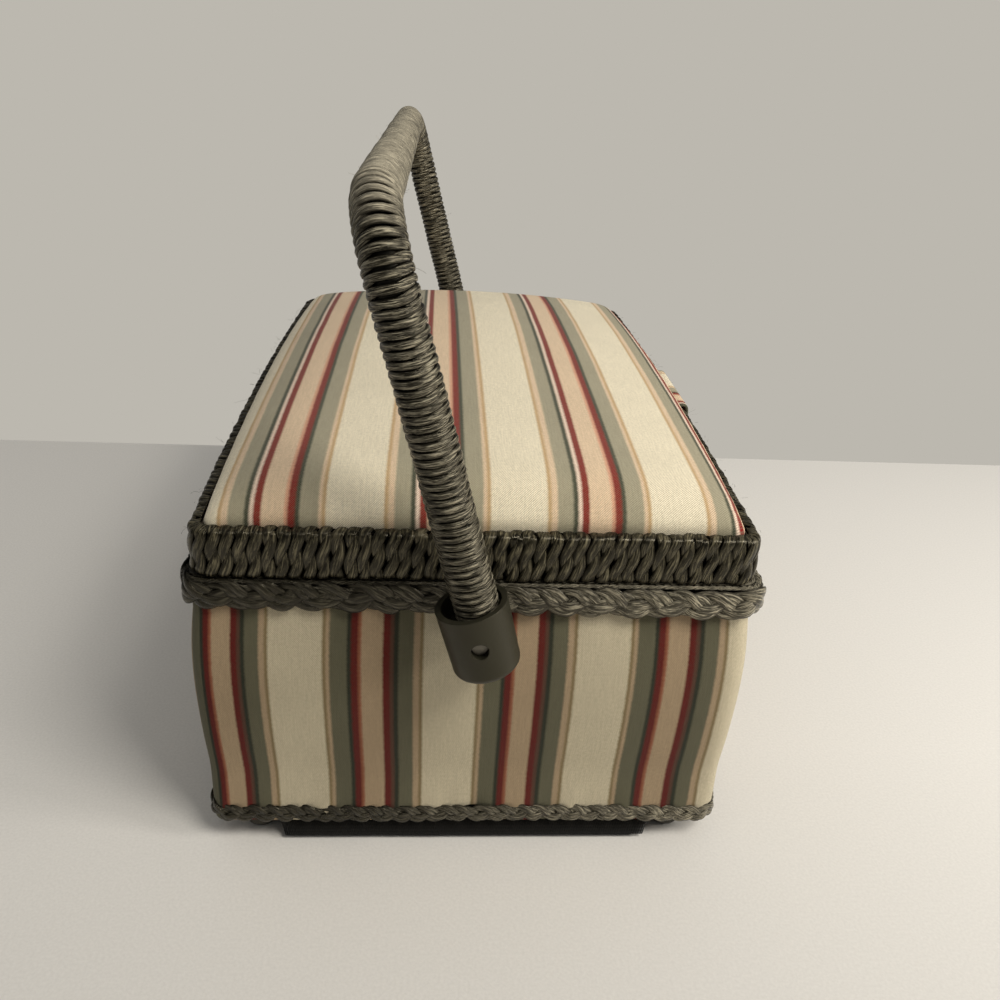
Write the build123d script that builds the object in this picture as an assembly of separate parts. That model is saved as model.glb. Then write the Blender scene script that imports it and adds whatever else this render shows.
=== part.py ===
"""Cord-trimmed, fabric-covered sewing basket with a padded lid and a bail handle.

Frame: millimetres, +Z up. X runs across the basket (hinges at -X, closure tab at +X),
Y runs along it. The origin is on the table, under the middle of the basket.
The basket stands on four feet, the lid is shut, the tab hangs down over its stud,
and the handle leans towards the hinge side.
"""
from build123d import *
import math
import os

# ---------------------------------------------------------------- driving dimensions
BODY_W = 193.2            # across the covered walls where the braids pinch them
BODY_L = 303.2            # along the covered walls
WALL_TOP = 116.4          # top edge of the walls above the table
CORNER_R = 6.0            # plan radius of the covered corners
BOARD_T = 3.0             # board of the four walls and the bottom
COVER_T = 2.6             # padded cover over the boards, at a braid
COVER_SWELL = 2.1         # how far the padded cover swells out at mid height
SWELL_STEPS = 8           # slices in the swell
LINING_T = 1.2            # lining inside the walls and under the lid
FLOOR_PAD_T = 3.0         # soft pad on the floor of the basket
BASE_CLOTH_T = 0.8        # dark cloth under the bottom board
BASE_CLOTH_INSET = 4.0    # from the outside of the cover to the cloth's edge

UPPER_BRAID_H = 13.6
UPPER_BRAID_T = 3.2
LOWER_BRAID_H = 8.0
LOWER_BRAID_T = 2.0
BRAID_ROUNDING = 1.2      # rounded edges of both braids

FOOT_H = 9.0
FOOT_R = 7.0
FOOT_FLAT_R = 3.8         # flat that rests on the table
FOOT_INSET_X = 16.6       # foot centre from the outside of the cover
FOOT_INSET_Y = 11.6
TACK_R = 1.1
TACK_HEAD_R = 1.8
TACK_HEAD_H = 1.0
TACK_RECESS = 1.5         # tack head above the table
TACK_BITE = 2.4           # tack point into the bottom board

LID_GAP = 1.6             # from the walls and braid up to the lid
LID_SIDE_OVERHANG = -1.0   # lid rim beyond the cover along its long sides
LID_END_OVERHANG = 1.5     # and at its two ends
RIM_H = 17.0
RIM_CORNER_R = 7.0
RIM_TOP_ROUNDING = 2.4
RIM_BOTTOM_ROUNDING = 1.8
WRAP_T = 2.2              # wrapped cord on the outside of the lid frame
WRAP_LIP = 1.0            # wrapped cord over and under the lid frame
FRAME_T = 3.0             # board of the lid's upright frame
LID_BOARD_T = 3.0
CROWN_H = 22.0            # top of the padded lid above its rim
SHOULDER_W = 18.5         # steep border of the padded crown
SHOULDER_H = 13.7
SHOULDER_BULGE = 2.2      # how far the border bows out from its chord

HINGE_PITCH = 160.0       # between the middles of the two hinges
HINGE_LEN = 30.0
KNUCKLE_R = 2.2
PIN_R = 0.9
PIN_HEAD_R = 1.7
PIN_HEAD_H = 0.8
LEAF_GAP = 0.1            # between the closed leaves
KNUCKLE_GAP = 0.2         # between neighbouring knuckles, and from a knuckle to a leaf
HINGE_STANDOFF = 0.3      # knuckles clear of the upper braid
LEAF_INSET = 0.3          # leaf's inner edge past the inner face of its board
LEAF_SCREW_PITCH = 18.0
WOOD_SCREW_R = 0.7
WOOD_SCREW_HEAD_R = 1.3
WOOD_SCREW_HEAD_H = 0.6
WOOD_SCREW_LEN = 9.0

HANDLE_LEAN = 15.0        # degrees from upright, towards the hinge side
HANDLE_RISE = 136.0       # from the pivots to the middle of the grip
HANDLE_BEND_R = 25.0      # rounded shoulders of the handle, on its centre line
HANDLE_WRAP_R = 7.75      # outside of the wrapped cord
HANDLE_CORE_R = 5.0
HANDLE_CORE_WALL = 1.2
PIVOT_DROP = 8.9          # pivots below the top edge of the walls
SOCKET_R = 12.0           # outside of a socket at its rim
SOCKET_FOOT_R = 11.3      # outside of a socket near its bottom
SOCKET_ABOVE = 11.5       # socket rim above the pivot
SOCKET_BELOW = 13.5       # socket bottom below the pivot
SOCKET_WALL = 2.0
SOCKET_DEPTH = 7.5        # how far the handle enters the socket
SOCKET_ROUNDING = 2.6     # rounded bottom edge of a socket
LEG_OFFSET = 1.4          # handle leg off the middle of its socket, away from the hinges

PIVOT_SCREW_R = 1.5
PIVOT_HEAD_R = 2.5
PIVOT_HEAD_H = 1.8
PIVOT_RECESS_R = 2.85     # hole in the socket that hides the screw head
PIVOT_RECESS = 4.5        # depth of that hole
PIVOT_WASHER_R = 4.6
PIVOT_WASHER_T = 0.6
INNER_WASHER_R = 4.5
INNER_WASHER_T = 0.8
NUT_ACROSS = 5.5
NUT_T = 2.4
SCREW_PROUD = 0.8         # screw end past its nut

TAB_W = 50.0
TAB_T = 1.8
TAB_DROP = 28.0           # tab's lower edge below the top edge of the walls
TAB_ARCH = 2.2            # how far the tab arches up over the rim
TAB_BEND_R = 3.0
TAB_RIM_CLEARANCE = 3.0    # tab clear of the lid's rim
TAB_HANG_CLEARANCE = 0.7  # tab clear of the upper braid
CAP_R = 6.0
CAP_RISE = 5.0            # snap's centre above the tab's lower edge
CAP_RING_R = 3.0
STUD_R = 2.0
STUD_FLANGE_R = 4.2
STUD_FLANGE_T = 0.8
STUD_GAP = 0.3            # stud clear of the unsnapped cap

RUN_CLEARANCE = 0.05      # shaft in a bore that turns, per side
HOLE_CLEARANCE = 0.1      # screw in a plain hole, per side
SEAT_GAP = 0.3            # between parts that move past each other

# ---------------------------------------------------------------- heights and half sizes
base_board_z = FOOT_H + BASE_CLOTH_T
floor_z = base_board_z + BOARD_T
swell_low_z = base_board_z + LOWER_BRAID_H
swell_high_z = WALL_TOP - UPPER_BRAID_H
board_half_w = BODY_W / 2 - COVER_T
board_half_l = BODY_L / 2 - COVER_T
inner_half_w = board_half_w - BOARD_T
inner_half_l = board_half_l - BOARD_T
room_half_w = inner_half_w - LINING_T
room_half_l = inner_half_l - LINING_T
braid_half_w = BODY_W / 2 + UPPER_BRAID_T
braid_half_l = BODY_L / 2 + UPPER_BRAID_T

lid_z = WALL_TOP + LID_GAP
rim_top_z = lid_z + RIM_H
rim_half_w = BODY_W / 2 + LID_SIDE_OVERHANG
rim_half_l = BODY_L / 2 + LID_END_OVERHANG
frame_half_w = rim_half_w - WRAP_T
frame_half_l = rim_half_l - WRAP_T
pad_half_w = frame_half_w - FRAME_T
pad_half_l = frame_half_l - FRAME_T
lid_board_z = lid_z + LINING_T
pad_z = lid_board_z + LID_BOARD_T

leaf_t = (LID_GAP - LEAF_GAP) / 2
hinge_x = -(braid_half_w + HINGE_STANDOFF + KNUCKLE_R)
hinge_z = WALL_TOP + LID_GAP / 2
side_reach = KNUCKLE_R - hinge_x

pivot_z = WALL_TOP - PIVOT_DROP
leg_y = braid_half_l + PIVOT_WASHER_T + SEAT_GAP + SOCKET_R
socket_floor = SOCKET_ABOVE - SOCKET_DEPTH

tab_axis_x = (pad_half_w + frame_half_w) / 2 + TAB_T / 2 - SEAT_GAP
tab_axis_z = rim_top_z + SEAT_GAP + TAB_T / 2
tab_low_z = WALL_TOP - TAB_DROP
tab_hang_x = braid_half_w + TAB_HANG_CLEARANCE + TAB_T / 2
snap_z = tab_low_z + CAP_RISE


# ---------------------------------------------------------------- helpers
def at(x, y, z):
    """Location at a point, unturned."""
    return Location((x, y, z))


def plan_block(half_w, half_l, corner_r, z_low, z_high):
    """Upright block with rounded corners in plan."""
    face = Plane.XY.offset(z_low) * RectangleRounded(2 * half_w, 2 * half_l, corner_r)
    return extrude(face, amount=z_high - z_low)


def box_block(half_w, half_l, z_low, z_high):
    """Upright block with square corners in plan."""
    return at(0, 0, (z_low + z_high) / 2) * Box(2 * half_w, 2 * half_l, z_high - z_low)


def rounded_rims(block, radius):
    """Round the whole top and bottom outline of a plan block."""
    by_height = block.faces().sort_by(Axis.Z)
    rims = by_height[0].outer_wire().edges() + by_height[-1].outer_wire().edges()
    return fillet(rims, radius)


def rod_z(x, y, z_low, z_high, radius):
    """Round rod standing along Z."""
    return at(x, y, (z_low + z_high) / 2) * Cylinder(radius, z_high - z_low)


def rod_y(x, z, y_from, y_to, radius):
    """Round rod lying along Y."""
    middle = Location((x, (y_from + y_to) / 2, z), (90, 0, 0))
    return middle * Cylinder(radius, abs(y_to - y_from))


def rod_x(y, z, x_from, x_to, radius):
    """Round rod lying along X."""
    middle = Location(((x_from + x_to) / 2, y, z), (0, 90, 0))
    return middle * Cylinder(radius, abs(x_to - x_from))


def mirrored_ends(piece):
    """The piece and its copy at the other end of the basket."""
    return [piece, mirror(piece, about=Plane.XZ)]


def write(name, *pieces):
    """Write one node; several pieces stay separate solids in it."""
    solids = []
    for piece in pieces:
        solids.extend(piece.solids())
    shape = solids[0] if len(solids) == 1 else Compound(children=solids)
    export_step(shape, os.path.join("parts", name + ".step"))


# ---------------------------------------------------------------- basket: boards and linings
def pivot_hole(radius):
    """Hole through both ends of the basket for the pivot screws."""
    reach = braid_half_l + SOCKET_R
    return rod_y(0, pivot_z, -reach, reach, radius)


def stud_hole(radius):
    """Hole through the front side for the snap stud."""
    return rod_x(0, snap_z, inner_half_w - LINING_T, side_reach, radius)


def end_walls():
    """Two end boards, standing on the bottom board between the side boards."""
    height = WALL_TOP - floor_z
    middle_y = board_half_l - BOARD_T / 2
    blank = at(0, -middle_y, floor_z + height / 2) * Box(2 * inner_half_w, BOARD_T, height)
    near = blank - pivot_hole(PIVOT_SCREW_R + HOLE_CLEARANCE)
    return mirrored_ends(near)


def side_wall(side):
    """One long side board; side is -1 at the hinges and +1 at the tab."""
    height = WALL_TOP - floor_z
    middle_x = side * (board_half_w - BOARD_T / 2)
    board = at(middle_x, 0, floor_z + height / 2) * Box(BOARD_T, 2 * board_half_l, height)
    if side < 0:
        return board - lower_leaf_screws(WOOD_SCREW_R + RUN_CLEARANCE)
    return board - stud_hole(STUD_R + RUN_CLEARANCE)


def bottom_board():
    """Board that carries the walls, the floor pad and the feet."""
    board = box_block(board_half_w, board_half_l, base_board_z, floor_z)
    for x, y in foot_places():
        board -= rod_z(x, y, 0, base_board_z + TACK_BITE, TACK_R + RUN_CLEARANCE)
    return board


def body_cover():
    """Padded cover round the four walls, pinched at both braids and swelling between."""
    half_w = BODY_W / 2
    half_l = BODY_L / 2
    low = plan_block(half_w, half_l, CORNER_R, base_board_z, swell_low_z)
    high = plan_block(half_w, half_l, CORNER_R, swell_high_z, WALL_TOP)
    slices = []
    for step in range(SWELL_STEPS + 1):
        part = step / SWELL_STEPS
        swell = COVER_SWELL * math.sin(math.pi * part)
        level = Plane.XY.offset(swell_low_z + part * (swell_high_z - swell_low_z))
        outline = RectangleRounded(2 * (half_w + swell), 2 * (half_l + swell), CORNER_R + swell)
        slices.append(level * outline)
    cover = low + loft(slices, ruled=True) + high
    cover -= box_block(board_half_w, board_half_l, base_board_z, WALL_TOP)
    cover -= pivot_hole(PIVOT_SCREW_R + HOLE_CLEARANCE)
    cover -= stud_hole(STUD_R + HOLE_CLEARANCE)
    return cover - stud_flange(RUN_CLEARANCE)


def body_lining():
    """Lining inside the four walls."""
    lining = box_block(inner_half_w, inner_half_l, floor_z, WALL_TOP)
    lining -= box_block(room_half_w, room_half_l, floor_z, WALL_TOP)
    return lining - pivot_hole(PIVOT_SCREW_R + HOLE_CLEARANCE)


def floor_pad():
    """Soft lining pad that covers the floor inside."""
    return box_block(room_half_w, room_half_l, floor_z, floor_z + FLOOR_PAD_T)


def base_cloth():
    """Dark cloth glued under the bottom board."""
    half_w = BODY_W / 2 - BASE_CLOTH_INSET
    half_l = BODY_L / 2 - BASE_CLOTH_INSET
    cloth = plan_block(half_w, half_l, CORNER_R, FOOT_H, base_board_z)
    for x, y in foot_places():
        cloth -= rod_z(x, y, FOOT_H, base_board_z, TACK_R + HOLE_CLEARANCE)
    return cloth


# ---------------------------------------------------------------- basket: braids and feet
def braid(z_low, height, thick):
    """Plaited band round the outside of the covered walls."""
    half_w = BODY_W / 2 + thick
    half_l = BODY_L / 2 + thick
    band = plan_block(half_w, half_l, CORNER_R + thick, z_low, z_low + height)
    band = rounded_rims(band, min(BRAID_ROUNDING, 0.45 * thick))
    return band - plan_block(BODY_W / 2, BODY_L / 2, CORNER_R, z_low, z_low + height)


def foot_places():
    """Centres of the four feet."""
    x = BODY_W / 2 - FOOT_INSET_X
    y = BODY_L / 2 - FOOT_INSET_Y
    return [(-x, -y), (x, -y), (-x, y), (x, y)]


def foot(x, y):
    """Domed plastic foot with a recess for its tack."""
    with BuildPart() as dome:
        with BuildSketch(Plane.XZ):
            with BuildLine():
                Line((0, 0), (FOOT_FLAT_R, 0))
                SagittaArc((FOOT_FLAT_R, 0), (FOOT_R, 0.6 * FOOT_H), -0.12 * FOOT_R)
                Line((FOOT_R, 0.6 * FOOT_H), (FOOT_R, FOOT_H))
                Line((FOOT_R, FOOT_H), (0, FOOT_H))
                Line((0, FOOT_H), (0, 0))
            make_face()
        revolve(axis=Axis.Z)
    body = at(x, y, 0) * dome.part
    body -= rod_z(x, y, 0, FOOT_H, TACK_R + RUN_CLEARANCE)
    return body - rod_z(x, y, 0, TACK_RECESS + TACK_HEAD_H, TACK_HEAD_R + HOLE_CLEARANCE)


def foot_tack(x, y):
    """Tack that holds a foot to the bottom board."""
    head = rod_z(x, y, TACK_RECESS, TACK_RECESS + TACK_HEAD_H, TACK_HEAD_R)
    return head + rod_z(x, y, TACK_RECESS, base_board_z + TACK_BITE, TACK_R)


# ---------------------------------------------------------------- hinges
def hinge_ys():
    """Middles of the two hinges along Y."""
    return [-HINGE_PITCH / 2, HINGE_PITCH / 2]


def countersunk_screw(x, y, z, down, extra):
    """Small wood screw, its head flush at z; extra widens it into its own hole."""
    turn = 0 if down else 180
    head = Cone(WOOD_SCREW_R + extra, WOOD_SCREW_HEAD_R + extra, WOOD_SCREW_HEAD_H)
    head = Location((0, 0, -WOOD_SCREW_HEAD_H / 2)) * head
    shank = Location((0, 0, -WOOD_SCREW_LEN / 2)) * Cylinder(WOOD_SCREW_R + extra, WOOD_SCREW_LEN)
    return Location((x, y, z), (turn, 0, 0)) * (head + shank)


def leaf_screw_places():
    """Places of the screws in one leaf along Y, for both hinges."""
    return [y + side * LEAF_SCREW_PITCH / 2 for y in hinge_ys() for side in (-1, 1)]


def lower_leaf_screws(radius):
    """Rods where the wall screws enter the top edge of the hinge-side board."""
    x = -(board_half_w - BOARD_T / 2)
    rods = [rod_z(x, y, WALL_TOP - WOOD_SCREW_LEN, lid_z, radius) for y in leaf_screw_places()]
    return Part() + rods


def upper_leaf_screws(radius):
    """Rods where the lid screws enter the lid frame."""
    x = -(frame_half_w - FRAME_T / 2)
    rods = [rod_z(x, y, WALL_TOP, lid_z + WOOD_SCREW_LEN, radius) for y in leaf_screw_places()]
    return Part() + rods


def wall_screws(extra):
    """Four screws of the lower leaves."""
    x = -(board_half_w - BOARD_T / 2)
    z = WALL_TOP + leaf_t
    return [countersunk_screw(x, y, z, True, extra) for y in leaf_screw_places()]


def lid_screws(extra):
    """Four screws of the upper leaves."""
    x = -(frame_half_w - FRAME_T / 2)
    z = lid_z - leaf_t
    return [countersunk_screw(x, y, z, False, extra) for y in leaf_screw_places()]


def leaf(y_middle, upper):
    """One hinge leaf: the lower one has the two outer knuckles, the upper one the middle."""
    third = HINGE_LEN / 3
    z_low = lid_z - leaf_t if upper else WALL_TOP
    z_high = lid_z if upper else WALL_TOP + leaf_t
    inner_x = -(pad_half_w if upper else inner_half_w) + LEAF_INSET
    plate_x = hinge_x + KNUCKLE_R + KNUCKLE_GAP
    middle_z = (z_low + z_high) / 2
    plate = at((plate_x + inner_x) / 2, y_middle, middle_z)
    leaf_body = plate * Box(inner_x - plate_x, HINGE_LEN, leaf_t)
    offsets = [0] if upper else [-third, third]
    for offset in offsets:
        y = y_middle + offset
        half = (third - KNUCKLE_GAP) / 2
        strap = at((hinge_x + plate_x) / 2, y, middle_z)
        leaf_body += strap * Box(plate_x - hinge_x, 2 * half, leaf_t)
        leaf_body += rod_y(hinge_x, hinge_z, y - half, y + half, KNUCKLE_R)
    bore = rod_y(hinge_x, hinge_z, y_middle - HINGE_LEN, y_middle + HINGE_LEN, PIN_R + RUN_CLEARANCE)
    leaf_body -= bore
    for screw in lid_screws(RUN_CLEARANCE) if upper else wall_screws(RUN_CLEARANCE):
        leaf_body -= screw
    return leaf_body


def hinge_pin(y_middle):
    """Headed pin through the three knuckles."""
    end = HINGE_LEN / 2
    shank = rod_y(hinge_x, hinge_z, y_middle - end - PIN_HEAD_H, y_middle + end, PIN_R)
    return shank + rod_y(hinge_x, hinge_z, y_middle - end - PIN_HEAD_H, y_middle - end, PIN_HEAD_R)


# ---------------------------------------------------------------- lid
def lid_board():
    """Flat board inside the lid frame."""
    return box_block(pad_half_w, pad_half_l, lid_board_z, pad_z)


def lid_frame():
    """Upright board frame round the lid, under the wrapped cord."""
    low = lid_z + WRAP_LIP
    high = rim_top_z - WRAP_LIP
    ring = plan_block(frame_half_w, frame_half_l, RIM_CORNER_R - WRAP_T, low, high)
    ring -= box_block(pad_half_w, pad_half_l, low, high)
    return ring - upper_leaf_screws(WOOD_SCREW_R + RUN_CLEARANCE)


def lid_rim_wrap():
    """Cord wound round the lid frame, over its top and under its bottom edge."""
    block = plan_block(rim_half_w, rim_half_l, RIM_CORNER_R, lid_z, rim_top_z)
    top = block.faces().sort_by(Axis.Z)[-1].outer_wire().edges()
    block = fillet(top, min(RIM_TOP_ROUNDING, 0.95 * WRAP_T + WRAP_LIP))
    bottom = block.faces().sort_by(Axis.Z)[0].outer_wire().edges()
    block = fillet(bottom, RIM_BOTTOM_ROUNDING)
    block -= box_block(pad_half_w, pad_half_l, lid_z, rim_top_z)
    low = lid_z + WRAP_LIP
    high = rim_top_z - WRAP_LIP
    block -= plan_block(frame_half_w, frame_half_l, RIM_CORNER_R - WRAP_T, low, high)
    return block - upper_leaf_screws(WOOD_SCREW_R + RUN_CLEARANCE)


def crown_profile(half, plane, reach):
    """Long block whose section is the lid pad seen along one direction."""
    shoulder_x = half - SHOULDER_W
    shoulder_z = rim_top_z + SHOULDER_H
    with BuildSketch(plane) as section:
        with BuildLine():
            Line((-half, pad_z), (half, pad_z))
            Line((half, pad_z), (half, rim_top_z))
            SagittaArc((half, rim_top_z), (shoulder_x, shoulder_z), -SHOULDER_BULGE)
            ThreePointArc((shoulder_x, shoulder_z), (0, rim_top_z + CROWN_H), (-shoulder_x, shoulder_z))
            SagittaArc((-shoulder_x, shoulder_z), (-half, rim_top_z), -SHOULDER_BULGE)
            Line((-half, rim_top_z), (-half, pad_z))
        make_face()
    return extrude(section.sketch, amount=reach, both=True)


def lid_pad():
    """Padded, crowned top of the lid."""
    along = crown_profile(pad_half_w, Plane.XZ, pad_half_l)
    across = crown_profile(pad_half_l, Plane.YZ, pad_half_w)
    return along & across


def lid_lining():
    """Lining under the lid board."""
    return box_block(pad_half_w, pad_half_l, lid_z, lid_board_z)


# ---------------------------------------------------------------- handle
def leaned(piece):
    """Put a piece made upright about the pivots into its resting lean."""
    return Location((0, 0, pivot_z), (0, -HANDLE_LEAN, 0)) * piece


def handle_path():
    """Centre line of the handle in its own upright plane, pivots at z = 0."""
    foot_z = socket_floor
    corners = [
        (LEG_OFFSET, -leg_y, foot_z),
        (LEG_OFFSET, -leg_y, HANDLE_RISE),
        (LEG_OFFSET, leg_y, HANDLE_RISE),
        (LEG_OFFSET, leg_y, foot_z),
    ]
    return FilletPolyline(*corners, radius=HANDLE_BEND_R)


def handle_tube(outer, inner):
    """Tube along the whole handle."""
    start = Plane(origin=(LEG_OFFSET, -leg_y, socket_floor), z_dir=(0, 0, 1))
    path = handle_path()
    tube = sweep(sections=start * Circle(outer), path=path)
    return leaned(tube - sweep(sections=start * Circle(inner), path=path))


def socket(end):
    """Plastic cup that holds one end of the handle; end is -1 near and +1 far."""
    height = SOCKET_ABOVE + SOCKET_BELOW
    cup = Cone(SOCKET_FOOT_R, SOCKET_R, height)
    cup = at(0, 0, (SOCKET_ABOVE - SOCKET_BELOW) / 2) * cup
    bottom = cup.faces().sort_by(Axis.Z)[0].edges()
    cup = fillet(bottom, SOCKET_ROUNDING)
    cup -= rod_z(0, 0, socket_floor, SOCKET_ABOVE, SOCKET_R - SOCKET_WALL)
    cup = at(0, end * leg_y, 0) * cup
    reach = end * (leg_y + SOCKET_R)
    cup -= rod_y(0, 0, end * braid_half_l, reach, PIVOT_SCREW_R + RUN_CLEARANCE)
    cup -= rod_y(0, 0, reach - end * PIVOT_RECESS, reach, PIVOT_RECESS_R)
    return leaned(cup)


def pivot_screw(end):
    """Screw that one socket turns on."""
    head_y = leg_y + SOCKET_R - PIVOT_RECESS + HOLE_CLEARANCE
    tip_y = room_half_l - INNER_WASHER_T - NUT_T - SCREW_PROUD
    shank = rod_y(0, pivot_z, end * tip_y, end * head_y, PIVOT_SCREW_R)
    return shank + rod_y(0, pivot_z, end * head_y, end * (head_y + PIVOT_HEAD_H), PIVOT_HEAD_R)


def pivot_washer(end):
    """Washer between the upper braid and a socket."""
    ring = rod_y(0, pivot_z, end * braid_half_l, end * (braid_half_l + PIVOT_WASHER_T), PIVOT_WASHER_R)
    return ring - pivot_hole(PIVOT_SCREW_R + RUN_CLEARANCE)


def inner_washer(end):
    """Washer against the lining."""
    ring = rod_y(0, pivot_z, end * (room_half_l - INNER_WASHER_T), end * room_half_l, INNER_WASHER_R)
    return ring - pivot_hole(PIVOT_SCREW_R + RUN_CLEARANCE)


def pivot_nut(end):
    """Hexagon nut on a pivot screw, inside the basket."""
    outer_y = room_half_l - INNER_WASHER_T
    blank = extrude(RegularPolygon(NUT_ACROSS / math.sqrt(3), 6), amount=NUT_T / 2, both=True)
    nut = Location((0, end * (outer_y - NUT_T / 2), pivot_z), (90, 0, 0)) * blank
    return nut - pivot_hole(PIVOT_SCREW_R + RUN_CLEARANCE)


# ---------------------------------------------------------------- closure tab and snap
def closure_tab():
    """Fabric tab from the lid's front edge, over the rim and down over the braid."""
    out_x = rim_half_w + TAB_RIM_CLEARANCE + TAB_T / 2
    path = FilletPolyline(
        (tab_axis_x, 0, tab_axis_z),
        ((tab_axis_x + out_x) / 2, 0, tab_axis_z + TAB_ARCH),
        (out_x, 0, tab_axis_z - TAB_ARCH / 2),
        (out_x, 0, (rim_top_z + lid_z) / 2),
        (tab_hang_x, 0, WALL_TOP),
        (tab_hang_x, 0, tab_low_z),
        radius=TAB_BEND_R,
    )
    start = Plane(origin=path @ 0, x_dir=(0, 1, 0), z_dir=path % 0)
    strap = sweep(sections=start * Rectangle(TAB_W, TAB_T), path=path)
    strap += rod_y(tab_axis_x, tab_axis_z, -TAB_W / 2, TAB_W / 2, TAB_T / 2)
    return strap - stud_hole(CAP_RING_R + RUN_CLEARANCE)


def snap_cap():
    """Snap cap on the tab, with its open ring facing the stud."""
    face_x = tab_hang_x + TAB_T / 2
    cap = rod_x(0, snap_z, face_x, side_reach, CAP_R)
    rim = cap.faces().sort_by(Axis.X)[-1].outer_wire().edges()
    cap = fillet(rim, 0.4 * (side_reach - face_x))
    cap += rod_x(0, snap_z, face_x - TAB_T, face_x, CAP_RING_R)
    return cap - rod_x(0, snap_z, face_x - TAB_T, face_x, STUD_R + HOLE_CLEARANCE)


def stud_flange(extra):
    """Flange of the snap stud, let into the cover."""
    seat_x = BODY_W / 2
    return rod_x(0, snap_z, seat_x - extra, side_reach, STUD_FLANGE_R + extra)


def snap_stud():
    """Snap stud riveted through the cover into the front board."""
    tip_x = tab_hang_x - TAB_T / 2 - STUD_GAP
    post = rod_x(0, snap_z, inner_half_w, tip_x, STUD_R)
    seat_x = BODY_W / 2
    return post + rod_x(0, snap_z, seat_x, seat_x + STUD_FLANGE_T, STUD_FLANGE_R)


# ---------------------------------------------------------------- write every node
os.makedirs("parts", exist_ok=True)

write("end_walls", *end_walls())
write("side_wall_back", side_wall(-1))
write("side_wall_front", side_wall(1))
write("bottom_board", bottom_board())
write("body_cover", body_cover())
write("body_lining", body_lining())
write("floor_pad", floor_pad())
write("base_cloth", base_cloth())
write("upper_braid", braid(WALL_TOP - UPPER_BRAID_H, UPPER_BRAID_H, UPPER_BRAID_T)
      - pivot_hole(PIVOT_SCREW_R + HOLE_CLEARANCE))
write("lower_braid", braid(base_board_z, LOWER_BRAID_H, LOWER_BRAID_T))
write("feet", *[foot(x, y) for x, y in foot_places()])
write("foot_tacks", *[foot_tack(x, y) for x, y in foot_places()])

write("hinge_lower_leaves", *[leaf(y, False) for y in hinge_ys()])
write("hinge_upper_leaves", *[leaf(y, True) for y in hinge_ys()])
write("hinge_pins", *[hinge_pin(y) for y in hinge_ys()])
write("hinge_wall_screws", *wall_screws(0))
write("hinge_lid_screws", *lid_screws(0))

write("lid_board", lid_board())
write("lid_frame", lid_frame())
write("lid_rim_wrap", lid_rim_wrap())
write("lid_pad", lid_pad())
write("lid_lining", lid_lining())

write("handle_core", handle_tube(HANDLE_CORE_R, HANDLE_CORE_R - HANDLE_CORE_WALL))
write("handle_wrap", handle_tube(HANDLE_WRAP_R, HANDLE_CORE_R))
write("handle_socket_near", socket(-1))
write("handle_socket_far", socket(1))
write("pivot_screws", pivot_screw(-1), pivot_screw(1))
write("pivot_washers", pivot_washer(-1), pivot_washer(1))
write("inner_washers", inner_washer(-1), inner_washer(1))
write("pivot_nuts", pivot_nut(-1), pivot_nut(1))

write("closure_tab", closure_tab())
write("snap_cap", snap_cap())
write("snap_stud", snap_stud())
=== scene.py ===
"""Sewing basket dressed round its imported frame: striped cloth, wound and plaited cord, plastic and metal.

Lengths are in millimetres until a mesh is made. +Z is up, the near end is at -Y and the closure tab at +X.
"""
import math
import bmesh
import bpy
import numpy as np
from mathutils import Matrix, Vector


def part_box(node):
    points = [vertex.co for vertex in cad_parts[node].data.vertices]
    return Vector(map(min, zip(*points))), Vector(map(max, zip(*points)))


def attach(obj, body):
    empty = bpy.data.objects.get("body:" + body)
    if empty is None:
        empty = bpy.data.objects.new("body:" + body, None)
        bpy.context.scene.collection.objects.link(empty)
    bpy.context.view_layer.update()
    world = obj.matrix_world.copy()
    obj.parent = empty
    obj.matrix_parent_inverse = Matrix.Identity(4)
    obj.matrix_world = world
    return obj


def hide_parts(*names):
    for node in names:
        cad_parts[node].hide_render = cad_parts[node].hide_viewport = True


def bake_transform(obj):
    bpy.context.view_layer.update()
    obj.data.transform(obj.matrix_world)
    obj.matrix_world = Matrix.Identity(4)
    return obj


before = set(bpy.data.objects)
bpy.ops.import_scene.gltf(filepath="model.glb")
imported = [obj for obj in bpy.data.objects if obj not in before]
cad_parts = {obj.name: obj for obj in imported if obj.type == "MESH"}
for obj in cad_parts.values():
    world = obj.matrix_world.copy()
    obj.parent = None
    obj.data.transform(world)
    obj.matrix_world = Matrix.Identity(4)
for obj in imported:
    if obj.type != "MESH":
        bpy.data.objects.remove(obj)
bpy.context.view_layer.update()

MM = 0.001
UP = np.array([0, 0, 1.0])
TURN = 2 * math.pi
chance = np.random.default_rng(11)  # shared by the pieces, so their order matters

# ----- camera
CAMERA_AT = Vector((-0.0157, -0.4199, 0.2777))
YAW, PITCH, ROLL = 4.56, 25.83, 3.25  # degrees
FOCAL_PX = 929.2  # focal length in pixels of a 1000 x 1000 picture
SENSOR = 36


def add_camera():
    """Camera at the photograph's viewing angle."""
    yaw, pitch, roll = (math.radians(a) for a in (YAW, PITCH, ROLL))
    level = Vector((math.sin(yaw), math.cos(yaw), 0))
    forward = math.cos(pitch) * level - Vector((0, 0, math.sin(pitch)))
    flat_right = Vector((math.cos(yaw), -math.sin(yaw), 0))
    flat_up = flat_right.cross(forward)
    right = math.cos(roll) * flat_right + math.sin(roll) * flat_up
    up = -math.sin(roll) * flat_right + math.cos(roll) * flat_up
    data = bpy.data.cameras.new("camera")
    data.sensor_width = SENSOR
    data.lens = SENSOR * FOCAL_PX / 1000
    data.clip_start = 0.01
    camera = bpy.data.objects.new("camera", data)
    bpy.context.scene.collection.objects.link(camera)
    turn = Matrix((right, up, -forward)).transposed().to_4x4()
    camera.matrix_world = Matrix.Translation(CAMERA_AT) @ turn
    bpy.context.scene.camera = camera


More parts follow.
